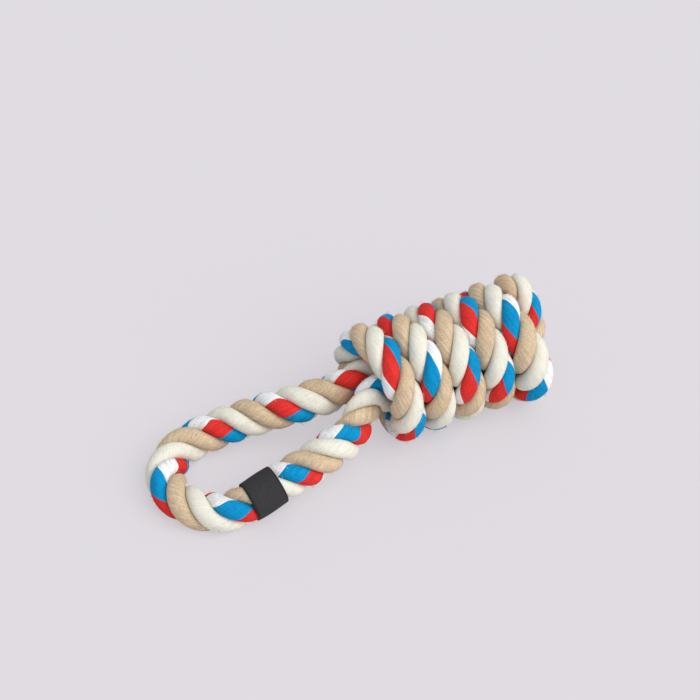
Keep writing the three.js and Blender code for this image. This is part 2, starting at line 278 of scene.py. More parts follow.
pieces = {
    "point": (legs, dive, winding),
    "radius": (np.full(len(legs), ROPE_RADIUS), dive_radius, winding_radius),
    "squeeze": (leg_squeeze, dive_squeeze, none_in_winding),
    "lay": (leg_lay, np.full(len(dive), FAR_LAY), winding_lay),
    "lift": (none_in_legs, dive_lift, none_in_winding),
}
rough = {name: np.concatenate(values) for name, values in pieces.items()}
print("carried along the route:", sorted(rough))

# %% Values at even steps along the rope
STEP = 1.0


def lengths(points):
    return np.concatenate([[0], np.cumsum(np.linalg.norm(np.diff(points, axis=0), axis=1))])


rough_along = lengths(rough["point"])
ROPE_LENGTH = rough_along[-1]
dive_from, dive_to = rough_along[len(legs)], rough_along[len(legs) + len(dive)]
along = np.linspace(0, ROPE_LENGTH, int(ROPE_LENGTH / STEP) + 1)
point = np.stack([np.interp(along, rough_along, rough["point"][:, k]) for k in range(3)], 1)
radius, squeeze, lay, lift = (
    np.interp(along, rough_along, rough[name]) for name in ("radius", "squeeze", "lay", "lift")
)
loop_share = smoothstep(point[:, 0], SQUEEZE_FULL_X, SQUEEZE_NONE_X) * (along < dive_from)
from_label = np.abs(along - LABEL_PLACE) - LABEL_LENGTH / 2
radius *= 1 + (LOOP_SWELL - 1) * loop_share * smoothstep(from_label, 0, LABEL_GRIP)
to_end = np.minimum(along, ROPE_LENGTH - along)
radius *= WHIP_DRAW + (1 - WHIP_DRAW) * smoothstep(to_end, WHIP_LENGTH, 2 * WHIP_LENGTH)
turn = LAY_START + np.cumsum(np.gradient(along) / lay)
turn += DIVE_SLIP * smoothstep(along, dive_from, dive_to)
yarn_drift = np.interp(along, *np.transpose(YARN_MARKS))
point[:, 2] += lift
print(f"rope length {ROPE_LENGTH:.1f} mm, {turn[-1] - turn[0]:.1f} turns of the lay")

# %% Frames along the route
ORIGIN = np.array([21.381, 2.587, 0])
tangent = np.gradient(point, axis=0)
tangent /= np.linalg.norm(tangent, axis=1)[:, None]
normal = np.zeros_like(point)
carried = np.array([0.0, 0.0, 1.0])
for i, along_rope in enumerate(tangent):
    carried = carried - along_rope * (carried @ along_rope)
    carried /= np.linalg.norm(carried)
    normal[i] = carried
binormal = np.cross(tangent, normal)


def squeezed(vectors):
    lean = core_turn(point[:, 0])
    across = np.stack([0 * lean, np.cos(lean), np.sin(lean)], 1)
    upright = np.stack([0 * lean, -np.sin(lean), np.cos(lean)], 1)
    narrow = squeeze * (LEG_HALF_WIDTH / ROPE_RADIUS - 1) * (vectors * across).sum(1)
    tall = squeeze * (LEG_HALF_HEIGHT / ROPE_RADIUS - 1) * (vectors * upright).sum(1)
    return vectors + across * narrow[:, None] + upright * tall[:, None]


first_arm = squeezed(normal) * radius[:, None]
second_arm = squeezed(binormal) * radius[:, None]
place = (point + ORIGIN) * MM
print("route box in mm:", np.round(place.min(0) / MM, 1), np.round(place.max(0) / MM, 1))

# %% [markdown]
# ## A small language for node trees
# Both the strands and their finishes are node trees. Written by hand, a tree is a long list of links. A
# class that wraps a socket and knows the operators lets a line of sums stand for the nodes that it adds.


# %% Wires and trees
class Wire:
    """A node's output that can take part in sums."""

    def __init__(self, tree, socket):
        self.tree = tree
        self.socket = socket

    def maths(self, operation, *values):
        return self.tree.node("ShaderNodeMath", {"operation": operation}, dict(enumerate(values)))

    def __add__(self, other):
        return self.maths("ADD", self, other)

    def __sub__(self, other):
        return self.maths("SUBTRACT", self, other)

    def __rsub__(self, other):
        return self.maths("SUBTRACT", other, self)

    def __mul__(self, other):
        return self.maths("MULTIPLY", self, other)

    def __gt__(self, other):
        return self.maths("GREATER_THAN", self, other)

    __radd__, __rmul__ = __add__, __mul__

    def apply(self, operation, *others):
        return self.maths(operation, self, *others)


class Tree:
    """Adds nodes to a shader tree or a geometry tree."""

    def __init__(self, tree):
        self.tree = tree

    def node(self, kind, settings=None, inputs=None, output=0):
        made = self.tree.nodes.new(kind)
        for name, value in (settings or {}).items():
            setattr(made, name, value)
        for name, value in (inputs or {}).items():
            if isinstance(value, Wire):
                self.tree.links.new(value.socket, made.inputs[name])
            else:
                made.inputs[name].default_value = value
        return Wire(self, made.outputs[output]) if made.outputs else None

    def vector(self, operation, *values):
        return self.node("ShaderNodeVectorMath", {"operation": operation}, dict(enumerate(values)))

    def scaled(self, vector, by):
        inputs = {"Vector": vector, "Scale": by}
        return self.node("ShaderNodeVectorMath", {"operation": "SCALE"}, inputs)

    def combined(self, x, y, z):
        return self.node("ShaderNodeCombineXYZ", None, {"X": x, "Y": y, "Z": z})

    def parts(self, vector):
        first = self.node("ShaderNodeSeparateXYZ", None, {"Vector": vector})
        return [Wire(self, socket) for socket in first.socket.node.outputs]

    def mixed(self, share, a, b, blend="MIX"):
        settings = {"data_type": "RGBA", "blend_type": blend}
        return self.node("ShaderNodeMix", settings, {0: share, 6: a, 7: b}, output=2)


print("node helpers:", [helper.__name__ for helper in (Wire, Tree)])

# %% [markdown]
# ## Cotton
# The strands are bundles of soft cotton yarn. Two are one colour, a warm beige and an off-white, and the
# third has red, blue and white yarns side by side, a third of the strand each. Up close the cotton shows
# fine fibres along the yarns, darker and lighter streaks, and a fuzz that runs no particular way. The
# strand's own UV map follows the yarns, round in X and along in Y, so stretched noise on it gives the
# fibres and streaks, and noise in plain space gives the fuzz.


# %% Helpers for finishes
def principled(name, roughness, specular):
    material = bpy.data.materials.new(name)
    material.use_nodes = True
    material.node_tree.nodes.clear()
    tree = Tree(material.node_tree)
    inputs = {"Roughness": roughness, "Specular IOR Level": specular}
    shader = tree.node("ShaderNodeBsdfPrincipled", None, inputs)
    tree.node("ShaderNodeOutputMaterial", None, {"Surface": shader})
    return material, tree, shader.socket.node


def connect(tree, node, name, wire):
    tree.tree.links.new(wire.socket, node.inputs[name])


def noise(tree, vector, scale=1.0, detail=3.0, roughness=0.6):
    inputs = {"Vector": vector, "Scale": scale, "Detail": detail, "Roughness": roughness}
    return tree.node("ShaderNodeTexNoise", None, inputs)


def fuzz_of(tree, grain, detail=4.0, roughness=0.75):
    return noise(tree, tree.node("ShaderNodeTexCoord", output="Object"), grain, detail, roughness)


def uv_parts(tree, name):
    return tree.parts(tree.node("ShaderNodeUVMap", {"uv_map": name}))


def shaded(tree, colour, shade):
    return tree.mixed(1.0, colour, tree.combined(shade, shade, shade), "MULTIPLY")


def raised(tree, shader, height, strength, depth):
    inputs = {"Strength": strength, "Distance": depth, "Height": height}
    connect(tree, shader, "Normal", tree.node("ShaderNodeBump", None, inputs))


print("finish helpers ready")

# %% Cotton materials
COTTON_ROUGHNESS = 0.92
COTTON_SPECULAR = 0.15
COTTON_BUMP = 0.7
COTTON_BUMP_DEPTH = 1 * MM
FIBRE_GRAIN = (64, 150)
FIBRE_ROUGHNESS = 0.7
STREAK_GRAIN = (30, 45)
STREAK_LAYER = 3.0
FUZZ_GRAIN = 1500
FIBRE_SHADE, STREAK_SHADE, MEAN_SHADE = 0.60, 0.70, 1.15
FIBRE_HEIGHT, FUZZ_HEIGHT = 0.6, 0.4
STREAK_DARK = 0.93
YARN_EDGE = 0.02
RED = (0.73, 0.036, 0.031, 1)
BLUE = (0.002, 0.285, 0.58, 1)
WHITE = (0.90, 0.90, 0.905, 1)
BEIGE = (0.67, 0.515, 0.345, 1)
CREAM = (0.845, 0.82, 0.71, 1)


def cotton(name, dye, depth):
    material, tree, shader = principled(name, COTTON_ROUGHNESS, COTTON_SPECULAR)
    x, y, _ = uv_parts(tree, "yarn_uv")
    fine = tree.combined(x * FIBRE_GRAIN[0], y * FIBRE_GRAIN[1], 0.0)
    fibre = noise(tree, fine, roughness=FIBRE_ROUGHNESS)
    streak = noise(tree, tree.combined(x * STREAK_GRAIN[0], y * STREAK_GRAIN[1], STREAK_LAYER))
    fuzz = fuzz_of(tree, FUZZ_GRAIN)
    shade = 1.0 + (fibre * FIBRE_SHADE + streak * STREAK_SHADE + fuzz - MEAN_SHADE) * depth
    connect(tree, shader, "Base Color", shaded(tree, dye(tree, x, streak), shade))
    raised(tree, shader, fibre * FIBRE_HEIGHT + fuzz * FUZZ_HEIGHT, COTTON_BUMP, COTTON_BUMP_DEPTH)
    return material


def plain_dye(colour):
    dark = [c * STREAK_DARK for c in colour[:3]] + [1]
    return lambda tree, x, streak: tree.mixed(streak, colour, dark)


def three_dyes(tree, x, streak):
    edge = x + (streak - 0.5) * YARN_EDGE
    cold = tree.mixed(edge > 1 / 3, RED, BLUE)
    return tree.mixed(edge > 2 / 3, cold, WHITE)


COTTONS = {
    "beige": cotton("beige_cotton", plain_dye(BEIGE), depth=1.3),
    "cream": cotton("cream_cotton", plain_dye(CREAM), depth=0.6),
    "tricolour": cotton("tricolour_cotton", three_dyes, depth=1.1),
}
print("cotton:", [material.name for material in COTTONS.values()])

# %% [markdown]
# ## Laying a strand
# A strand is a soft wedge that winds round the rope's middle. A curve with a round bevel would give a
# pipe, not a strand that is pressed flat against its neighbours. Here a Geometry Nodes tree rolls a flat
# grid into the strand instead: each row of the grid reads one point of the route, and each column is a
# place round the strand. The columns turn with the yarns, so the small ridge on every yarn is geometry,
# and the grid's own UV map follows the yarns for free. Rolled this way the faces look inwards, so the
# tree flips them. It also marks how far each point faces out of the rope, for the loose fibres later.


# %% Helpers for geometry trees
def new_group(name, inputs):
    group = bpy.data.node_groups.new(name, "GeometryNodeTree")
    group.interface.new_socket("Route", in_out="INPUT", socket_type="NodeSocketGeometry")
    for label, kind, value in inputs:
        socket = group.interface.new_socket(label, in_out="INPUT", socket_type=kind)
        if value is not None:
            socket.default_value = value
    group.interface.new_socket("Geometry", in_out="OUTPUT", socket_type="NodeSocketGeometry")
    tree = Tree(group)
    entry = group.nodes.new("NodeGroupInput")
    return group, tree, {s.name: Wire(tree, s) for s in entry.outputs if s.name}


def realized(tree, geometry):
    return tree.node("GeometryNodeRealizeInstances", None, {"Geometry": geometry})


def worn(tree, geometry, material):
    return tree.node("GeometryNodeSetMaterial", None, {"Geometry": geometry, "Material": material})


def finish_group(tree, geometry):
    tree.node("NodeGroupOutput", None, {0: geometry})


def named(tree, name, kind):
    return tree.node("GeometryNodeInputNamedAttribute", {"data_type": kind}, {"Name": name})


def stored(tree, geometry, name, value, kind, domain):
    settings = {"data_type": kind, "domain": domain}
    inputs = {"Geometry": geometry, "Name": name, "Value": value}
    return tree.node("GeometryNodeStoreNamedAttribute", settings, inputs)


def tube(tree, line, sides, thickness):
    inputs = {"Resolution": sides, "Radius": thickness}
    circle = tree.node("GeometryNodeCurvePrimitiveCircle", None, inputs)
    inputs = {"Curve": line, "Profile Curve": circle, "Fill Caps": True}
    return tree.node("GeometryNodeCurveToMesh", None, inputs)


print("geometry helpers ready")

# %% A strand's section
YARNS = 24
STRAND_MIDDLE = 0.52
STRAND_DEPTH = 0.47
STRAND_BREADTH = 0.60
STRAND_GAP = 0.015
YARN_RELIEF = 0.016
UNEVEN_ALONG = 90
UNEVEN_APART = 50


def yarn_ridge(tree, around, long, slot):
    spot = tree.combined(around * YARNS, long * UNEVEN_ALONG, slot * UNEVEN_APART)
    uneven = noise(tree, spot, detail=1.0, roughness=0.5)
    return (around * (math.pi * YARNS)).apply("SINE").apply("ABSOLUTE") * uneven * (2 * YARN_RELIEF)


def strand_section(given, v, ridge, open_row):
    """How far the surface lies outward and sideways, as shares of the rope's radius."""
    out = given["Middle"] + (given["Depth"] + ridge) * v.apply("COSINE") * open_row
    limit = (out * math.tan(math.pi / 3) - STRAND_GAP).apply("MAXIMUM", 0.0)
    wide = (given["Breadth"] + ridge) * v.apply("SINE") * open_row
    return out, wide.apply("MINIMUM", limit).apply("MAXIMUM", limit * -1)


print("strand section:", YARNS, "yarns round each strand")

# %% The strand tree
COLUMNS_PER_YARN = 3
WELD = 0.01 * MM


def sampler(tree, route, row):
    def sample(name, kind):
        if name == "position":
            field = tree.node("GeometryNodeInputPosition")
        else:
            field = named(tree, name, kind)
        inputs = {"Geometry": route, "Value": field, "Index": row}
        return tree.node("GeometryNodeSampleIndex", {"data_type": kind, "domain": "POINT"}, inputs)

    return sample


def strand_place(tree, sample, turned, out, wide):
    """The point in space, kept above the surface that the toy lies on."""
    first, second = sample("first_arm", "FLOAT_VECTOR"), sample("second_arm", "FLOAT_VECTOR")
    cosine, sine = (turned * TAU).apply("COSINE"), (turned * TAU).apply("SINE")
    outward = tree.vector("ADD", tree.scaled(first, cosine), tree.scaled(second, sine))
    sideways = tree.vector("SUBTRACT", tree.scaled(second, cosine), tree.scaled(first, sine))
    offset = tree.vector("ADD", tree.scaled(outward, out), tree.scaled(sideways, wide))
    x, y, z = tree.parts(tree.vector("ADD", sample("position", "FLOAT_VECTOR"), offset))
    return tree.combined(x, y, z.apply("MAXIMUM", 0.0))


def strand_group():
    sizes = [
        ("Slot", "NodeSocketFloat", 0.0),
        ("Middle", "NodeSocketFloat", STRAND_MIDDLE),
        ("Depth", "NodeSocketFloat", STRAND_DEPTH),
        ("Breadth", "NodeSocketFloat", STRAND_BREADTH),
        ("Yarns", "NodeSocketInt", YARNS),
        ("Cotton", "NodeSocketMaterial", None),
    ]
    group, tree, given = new_group("lay_a_strand", sizes)
    component = {"component": "MESH"}
    rows = tree.node("GeometryNodeAttributeDomainSize", component, {"Geometry": given["Route"]})
    columns = given["Yarns"] * COLUMNS_PER_YARN
    inputs = {"Size X": 1.0, "Size Y": 1.0, "Vertices X": rows, "Vertices Y": columns + 1}
    grid = tree.node("GeometryNodeMeshGrid", None, inputs)
    round_share = tree.parts(Wire(tree, grid.socket.node.outputs["UV Map"]))[1]
    here = tree.parts(tree.node("GeometryNodeInputPosition"))
    last = rows - 1
    row = ((here[0] + 0.5) * last).apply("ROUND")
    around = here[1] + 0.5
    sample = sampler(tree, given["Route"], row)
    long = sample("along", "FLOAT")
    turned = sample("turn", "FLOAT") + given["Slot"]
    yarn = sample("yarn_drift", "FLOAT") + turned * float(YARN_TURNS)
    v = (around - yarn) * TAU
    ridge = yarn_ridge(tree, around, long, given["Slot"])
    open_row = row.apply("MINIMUM", last - row).apply("MINIMUM", 1.0)
    out, wide = strand_section(given, v, ridge, open_row)
    lies = strand_place(tree, sample, turned, out, wide)
    mapped = stored(tree, grid, "yarn_uv", tree.combined(round_share, long, 0.0), "FLOAT2", "CORNER")
    faced = stored(tree, mapped, "outward", v.apply("COSINE"), "FLOAT", "POINT")
    rolled = tree.node("GeometryNodeSetPosition", None, {"Geometry": faced, "Position": lies})
    closed = tree.node("GeometryNodeMergeByDistance", None, {"Geometry": rolled, "Distance": WELD})
    outside = tree.node("GeometryNodeFlipFaces", None, {"Mesh": closed})
    soft = tree.node("GeometryNodeSetShadeSmooth", None, {"Geometry": outside})
    finish_group(tree, worn(tree, realized(tree, soft), given["Cotton"]))
    return group


lay_a_strand = strand_group()
print("strand tree:", len(lay_a_strand.nodes), "nodes")

# %% The rope tree
SLOTS = {"beige": 0.0, "cream": 1 / 3, "tricolour": 2 / 3}


def rope_group():
    group, tree, given = new_group("lay_three_strands", [])
    join = group.nodes.new("GeometryNodeJoinGeometry")
    for colour, slot in SLOTS.items():
        inputs = {"Route": given["Route"], "Slot": slot, "Cotton": COTTONS[colour]}
        strand = tree.node("GeometryNodeGroup", {"node_tree": lay_a_strand}, inputs)
        group.links.new(strand.socket, join.inputs[0])
    finish_group(tree, realized(tree, Wire(tree, join.outputs[0])))
    return group


lay_three_strands = rope_group()
print("rope tree:", len(lay_three_strands.nodes), "nodes")


# %% From route to mesh
def line_mesh(name, points):
    mesh = bpy.data.meshes.new(name)
    mesh.from_pydata(points.tolist(), [(i, i + 1) for i in range(len(points) - 1)], [])
    return mesh


def route_object(name, start, end):
    chosen = np.where((along >= start) & (along <= end))[0]
    mesh = line_mesh(name, place[chosen])
    for label, values in (("first_arm", first_arm * MM), ("second_arm", second_arm * MM)):
        attribute = mesh.attributes.new(label, "FLOAT_VECTOR", "POINT")
        attribute.data.foreach_set("vector", values[chosen].astype(np.float32).ravel())
    for label, values in (("turn", turn), ("yarn_drift", yarn_drift), ("along", along * MM)):
        attribute = mesh.attributes.new(label, "FLOAT", "POINT")
        attribute.data.foreach_set("value", values[chosen].astype(np.float32))
    return placed(name, mesh)


def grown(name, base, group, values):
    """Run a tree on a base object and keep the result as a plain mesh."""
    modifier = base.modifiers.new("grow", "NODES")
    modifier.node_group = group
    for item in group.interface.items_tree:
        if item.name in values:
            modifier[item.identifier] = values[item.name]
    dressed = base.evaluated_get(bpy.context.evaluated_depsgraph_get())
    mesh = bpy.data.meshes.new_from_object(dressed)
    base.modifiers.remove(modifier)
    bpy.data.objects.remove(base)
    mesh.name = name
    print(name, len(mesh.polygons), "faces")
    return placed(name, mesh)


print("route ready for the strands:", len(along), "points")

# %% [markdown]
# ## The hand loop
# The loop and its two necks are one free length of rope: it leaves the knot, goes round and comes back.
# It starts and ends well inside the winding, where nothing shows.

# %% Hand loop
HIDDEN_X = 6


def crossing(x, after, before, rising):
    near = np.where((along > after) & (along < before) & ((point[:, 0] > x) == rising))[0]
    return along[near[0]]


HALF_WAY = along[np.argmin(point[:, 0])]
loop_from = crossing(HIDDEN_X, 0, HALF_WAY, False)
loop_to = crossing(HIDDEN_X, HALF_WAY, ROPE_LENGTH, True)
loop_rope = grown("loop_rope", route_object("loop_route", loop_from, loop_to), lay_three_strands, {})

# %% [markdown]
# ## The core and the winding
# The first end of the rope lies inside the knot and hardly shows, so it is one piece. The other end is
# the knot itself. It is laid one strand at a time, so that each strand stands for a solid of its own.

# %% Core and winding
core_rope = grown("core_rope", route_object("core_route", 0, loop_from), lay_three_strands, {})
windings = {}
for colour, slot in SLOTS.items():
    values = {"Slot": slot, "Cotton": COTTONS[colour]}
    route = route_object("winding_route", loop_to, ROPE_LENGTH)
    windings[colour] = grown(f"knot_winding_{colour}", route, lay_a_strand, values)

# %% [markdown]
# ## Loose fibres
# Spun cotton is never quite smooth: short fibres work loose and curl up from the yarns, and they soften
# every edge of the rope. Hair would do it, but hair doesn't reach the exported model. Here a Geometry
# Nodes tree scatters small curled threads over the outer face of the strands and lets each one keep the
# UV place of the yarn under it, so that it takes that yarn's colour. None grow under the band, or so low
# that they would go through the surface that the toy lies on.

# %% One fibre
FIBRE_LENGTH = 2.2 * MM
FIBRE_LIFT = 0.8 * MM
FIBRE_RADIUS = 0.045 * MM
FIBRE_STEPS = 3
FIBRE_SIDES = 3
FIBRE_BEND = 0.45
FIBRE_CURL = 0.25
FIBRE_DROP = 0.6
FIBRE_LEAN = 0.15
FIBRE_SIZES = (0.5, 1.3)
FIBRE_SEED = 7


def fibre_shape(tree, given):
    middle = tree.combined(given["Length"] * FIBRE_BEND, 0.0, given["Lift"])
    end = tree.combined(given["Length"], given["Length"] * FIBRE_CURL, given["Lift"] * FIBRE_DROP)
    inputs = {"Resolution": FIBRE_STEPS, "Start": (0, 0, 0), "Middle": middle, "End": end}
    line = tree.node("GeometryNodeCurveQuadraticBezier", None, inputs)
    return tube(tree, line, FIBRE_SIDES, given["Radius"])


def random_turn(tree):
    low, high = (-FIBRE_LEAN, -FIBRE_LEAN, 0), (FIBRE_LEAN, FIBRE_LEAN, TAU)
    inputs = {0: low, 1: high, "Seed": FIBRE_SEED}
    return tree.node("FunctionNodeRandomValue", {"data_type": "FLOAT_VECTOR"}, inputs)


def random_size(tree):
    inputs = {2: FIBRE_SIZES[0], 3: FIBRE_SIZES[1], "Seed": FIBRE_SEED}
    return tree.node("FunctionNodeRandomValue", {"data_type": "FLOAT"}, inputs, output=1)


print(f"one fibre: {FIBRE_LENGTH / MM:.1f} mm long, {2 * FIBRE_RADIUS / MM:.2f} mm thick")

# %% Fibre tree
FIBRES_PER_M2 = 160000
FIBRE_FACING = 0.3
FIBRE_REACH = FIBRE_SIZES[1] * (FIBRE_LENGTH + FIBRE_LIFT)


def fibre_ground(tree, given):
    """The faces that may grow fibres: of the right cotton, outside, off the floor and off the band."""
    height = tree.parts(tree.node("GeometryNodeInputPosition"))[2]
    clear = (height > FIBRE_REACH) * (named(tree, "outward", "FLOAT") > FIBRE_FACING)
    long = tree.parts(named(tree, "yarn_uv", "FLOAT_VECTOR"))[1]
    bare = (long - LABEL_PLACE * MM).apply("ABSOLUTE") > LABEL_LENGTH / 2 * MM
    own = tree.node("GeometryNodeMaterialSelection", None, {"Material": given["Cotton"]})
    return clear * bare * own


def fibre_group():
    sizes = [
        ("Density", "NodeSocketFloat", FIBRES_PER_M2),
        ("Length", "NodeSocketFloat", FIBRE_LENGTH),
        ("Lift", "NodeSocketFloat", FIBRE_LIFT),
        ("Radius", "NodeSocketFloat", FIBRE_RADIUS),
        ("Cotton", "NodeSocketMaterial", None),
    ]
    group, tree, given = new_group("raise_loose_fibres", sizes)
    inputs = {
        "Mesh": given["Route"],
        "Selection": fibre_ground(tree, given),
        "Density": given["Density"],
        "Seed": FIBRE_SEED,
    }
    spots = tree.node("GeometryNodeDistributePointsOnFaces", {"distribute_method": "RANDOM"}, inputs)
    inputs = {
        "Points": spots,
        "Instance": fibre_shape(tree, given),
        "Rotation": Wire(tree, spots.socket.node.outputs["Rotation"]),
        "Scale": random_size(tree),
    }
    planted = tree.node("GeometryNodeInstanceOnPoints", None, inputs)
    inputs = {"Instances": planted, "Rotation": random_turn(tree)}
    real = realized(tree, tree.node("GeometryNodeRotateInstances", None, inputs))
    yarn_place = named(tree, "yarn_uv", "FLOAT_VECTOR")
    mapped = stored(tree, real, "yarn_uv", yarn_place, "FLOAT2", "CORNER")
    finish_group(tree, worn(tree, mapped, given["Cotton"]))
    return group


def fibres_on(name, rope, colour):
    return grown(name, placed(name, rope.data.copy()), raise_loose_fibres, {"Cotton": COTTONS[colour]})


raise_loose_fibres = fibre_group()
knot_fibres = {c: fibres_on(f"knot_fibres_{c}", windings[c], c) for c in SLOTS}
loop_fibres = {c: fibres_on(f"loop_fibres_{c}", loop_rope, c) for c in SLOTS}

# %% [markdown]
# ## The woven band
# A black tape goes once round the front leg and is sewn to itself underneath. It grips the rope, so it
# stands a little proud in the middle and shows the three strands faintly. A tube would look like
# plastic. This band is a loop of rings with rounded, folded rims, a second layer where its two ends
# overlap, and a UV map in metres, so that the weave has its true size.

# %% Weave
THREAD_PITCH = 0.75 * MM
RIM_SHADE_WIDTH = 0.9
WEAVE_BLACK = (0.024, 0.024, 0.027, 1)
WEAVE_GRAIN = 1100
WEAVE_ROUGHNESS, ROUGHNESS_SPREAD = 0.62, 0.2
WEAVE_SPECULAR = 0.35
WEAVE_BUMP = 0.4
WEAVE_BUMP_DEPTH = 0.3 * MM
THREAD_SHADE, WEAVE_FUZZ, WEAVE_DARK = 0.25, 2.4, 0.15
# How much darker the weave is painted near its rims: painted shade at the band's edges.
RIM_PAINTED_SHADE = 0.5


def black_weave():
    material, tree, shader = principled("label_weave", WEAVE_ROUGHNESS, WEAVE_SPECULAR)
    x, y, _ = uv_parts(tree, "weave_uv")
    over = (x * (TAU / THREAD_PITCH)).apply("SINE") * (y * (TAU / THREAD_PITCH)).apply("SINE")
    fuzz = fuzz_of(tree, WEAVE_GRAIN)
    # Within a small width of both rims the weave is darkened: painted shade where the band's folded edges
    # meet the rope.
    rim = (y - LABEL_LENGTH / 2 * MM).apply("ABSOLUTE") > (LABEL_LENGTH / 2 - RIM_SHADE_WIDTH) * MM
    shade = (over * THREAD_SHADE + fuzz * WEAVE_FUZZ - WEAVE_DARK) * (1 - rim * RIM_PAINTED_SHADE)
    connect(tree, shader, "Base Color", shaded(tree, WEAVE_BLACK, shade))
    connect(tree, shader, "Roughness", WEAVE_ROUGHNESS + fuzz * ROUGHNESS_SPREAD)
    raised(tree, shader, over + fuzz, WEAVE_BUMP, WEAVE_BUMP_DEPTH)
    return material


label_weave = black_weave()
print("weave:", len(label_weave.node_tree.nodes), "nodes")

# %% Shape of the band
BAND_ROWS = 24
BAND_COLUMNS = 120
BAND_RADIUS = 10.85
BAND_BULGE = 0.3
BAND_LOBES = 0.1
BAND_THICKNESS = 0.6
BAND_RIM = 0.3
OVERLAP = 0.35
OVERLAP_HALF = 0.32
OVERLAP_EDGE = 0.06
SEAM_SIDE = math.radians(205)


def at(values, distance):
    return np.stack([np.interp(distance, along, values[:, k]) for k in range(3)], -1)


def band_height(share, angle):
    """How far the band's outer face lies from the rope's middle."""
    turned = np.interp(LABEL_PLACE, along, turn) * TAU
    aside = np.abs((angle - SEAM_SIDE + math.pi) % TAU - math.pi)
    double = OVERLAP * smoothstep(aside, OVERLAP_HALF + OVERLAP_EDGE, OVERLAP_HALF)
    bulge = BAND_BULGE * math.sin(math.pi * min(max(share, 0), 1))
    return BAND_RADIUS + bulge + BAND_LOBES * np.cos(3 * (angle - turned)) + double


def round_rope(distance, angle, height):
    """Points round the rope, a height in mm away from its middle."""
    first, second = at(normal, distance), at(binormal, distance)
    arm = first * np.cos(angle)[:, None] + second * np.sin(angle)[:, None]
    return (at(point, distance) + ORIGIN + arm * np.reshape(height, (-1, 1))) * MM


def band_profile():
    shares = np.linspace(0, 1, BAND_ROWS)
    rim = BAND_RIM / LABEL_LENGTH
    outer = [(share, 0) for share in shares]
    inner = [(share, -BAND_THICKNESS) for share in shares[::-3]]
    return [(-rim, -BAND_THICKNESS / 2), *outer, (1 + rim, -BAND_THICKNESS / 2), *inner]


print("band profile:", len(band_profile()), "rings")


# %% Band
def woven_band():
    angles = np.linspace(0, TAU, BAND_COLUMNS, endpoint=False)
    corners, flat = [], []
    for share, depth in band_profile():
        distance = np.full(BAND_COLUMNS, LABEL_PLACE + (share - 0.5) * LABEL_LENGTH)
        corners.extend(round_rope(distance, angles, band_height(share, angles) + depth).tolist())
        flat.append((share * LABEL_LENGTH + depth) * MM)
    arc = TAU * BAND_RADIUS * MM / BAND_COLUMNS
    faces, uvs = [], []
    for i in range(len(flat)):
        j = (i + 1) % len(flat)
        ring, next_ring = i * BAND_COLUMNS, j * BAND_COLUMNS
        for k in range(BAND_COLUMNS):
            m = (k + 1) % BAND_COLUMNS
            left, right = k * arc, (k + 1) * arc
            faces.append([ring + k, ring + m, next_ring + m, next_ring + k])
            uvs.extend([(left, flat[i]), (right, flat[i]), (right, flat[j]), (left, flat[j])])
    mesh = bpy.data.meshes.new("woven_band")
    mesh.from_pydata(corners, [], faces)
    mesh.uv_layers.new(name="weave_uv").data.foreach_set("uv", np.ravel(uvs))
    mesh.materials.append(label_weave)
    mesh.shade_smooth()
    return placed("woven_band", mesh)


band = woven_band()
print("woven band:", len(band.data.polygons), "faces")

# %% [markdown]
# ## Threads
# Three thin threads hold the toy together out of sight: one zigzags along the band's overlap, and one is
# wound tight round each end of the rope to stop it from fraying. Each is a line of points worked out by
# a formula, and one Geometry Nodes tree spins a round thread along any of them.

# %% Thread tree
THREAD_RADIUS = 0.5 * MM
THREAD_SIDES = 8


def thread_group():
    sizes = [
        ("Radius", "NodeSocketFloat", THREAD_RADIUS),
        ("Sides", "NodeSocketInt", THREAD_SIDES),
        ("Cotton", "NodeSocketMaterial", None),
    ]
    group, tree, given = new_group("spin_a_thread", sizes)
    line = tree.node("GeometryNodeMeshToCurve", None, {"Mesh": given["Route"]})
    spun = tube(tree, line, given["Sides"], given["Radius"])
    soft = tree.node("GeometryNodeSetShadeSmooth", None, {"Geometry": spun})
    finish_group(tree, worn(tree, realized(tree, soft), given["Cotton"]))
    return group


def thread_along(name, points, thickness, material):
    base = placed(name + "_line", line_mesh(name, points))
    return grown(name, base, spin_a_thread, {"Radius": thickness * MM, "Cotton": material})


spin_a_thread = thread_group()
print("thread tree:", len(spin_a_thread.nodes), "nodes")

# %% Waxed thread
WAX_ROUGHNESS = 0.7
WAX_SPECULAR = 0.5
WAX_GRAIN = 1500
WAX_SHADE, WAX_FUZZ = 0.7, 0.6
WAX_BUMP = 0.5
WAX_BUMP_DEPTH = 0.2 * MM
WHIPPING_COLOUR = (0.72, 0.64, 0.48, 1)
SEAM_COLOUR = (0.03, 0.03, 0.034, 1)


def waxed_thread(name, colour):
    material, tree, shader = principled(name, WAX_ROUGHNESS, WAX_SPECULAR)
    fuzz = fuzz_of(tree, WAX_GRAIN, detail=3.0, roughness=0.6)
    connect(tree, shader, "Base Color", shaded(tree, colour, WAX_SHADE + fuzz * WAX_FUZZ))
    raised(tree, shader, fuzz, WAX_BUMP, WAX_BUMP_DEPTH)
    return material


whipping_cotton = waxed_thread("whipping_thread", WHIPPING_COLOUR)
black_thread = waxed_thread("seam_thread", SEAM_COLOUR)
print("waxed threads:", whipping_cotton.name, "and", black_thread.name)

# %% Seam and whippings
SEAM_STITCHES = 6
SEAM_WIDTH = 2
SEAM_THREAD = 0.35
SEAM_INSET = 1.5
WHIP_TURNS = 7
WHIP_EDGE = 1.5
WHIP_THREAD = 0.5
WHIP_POINTS_PER_TURN = 32


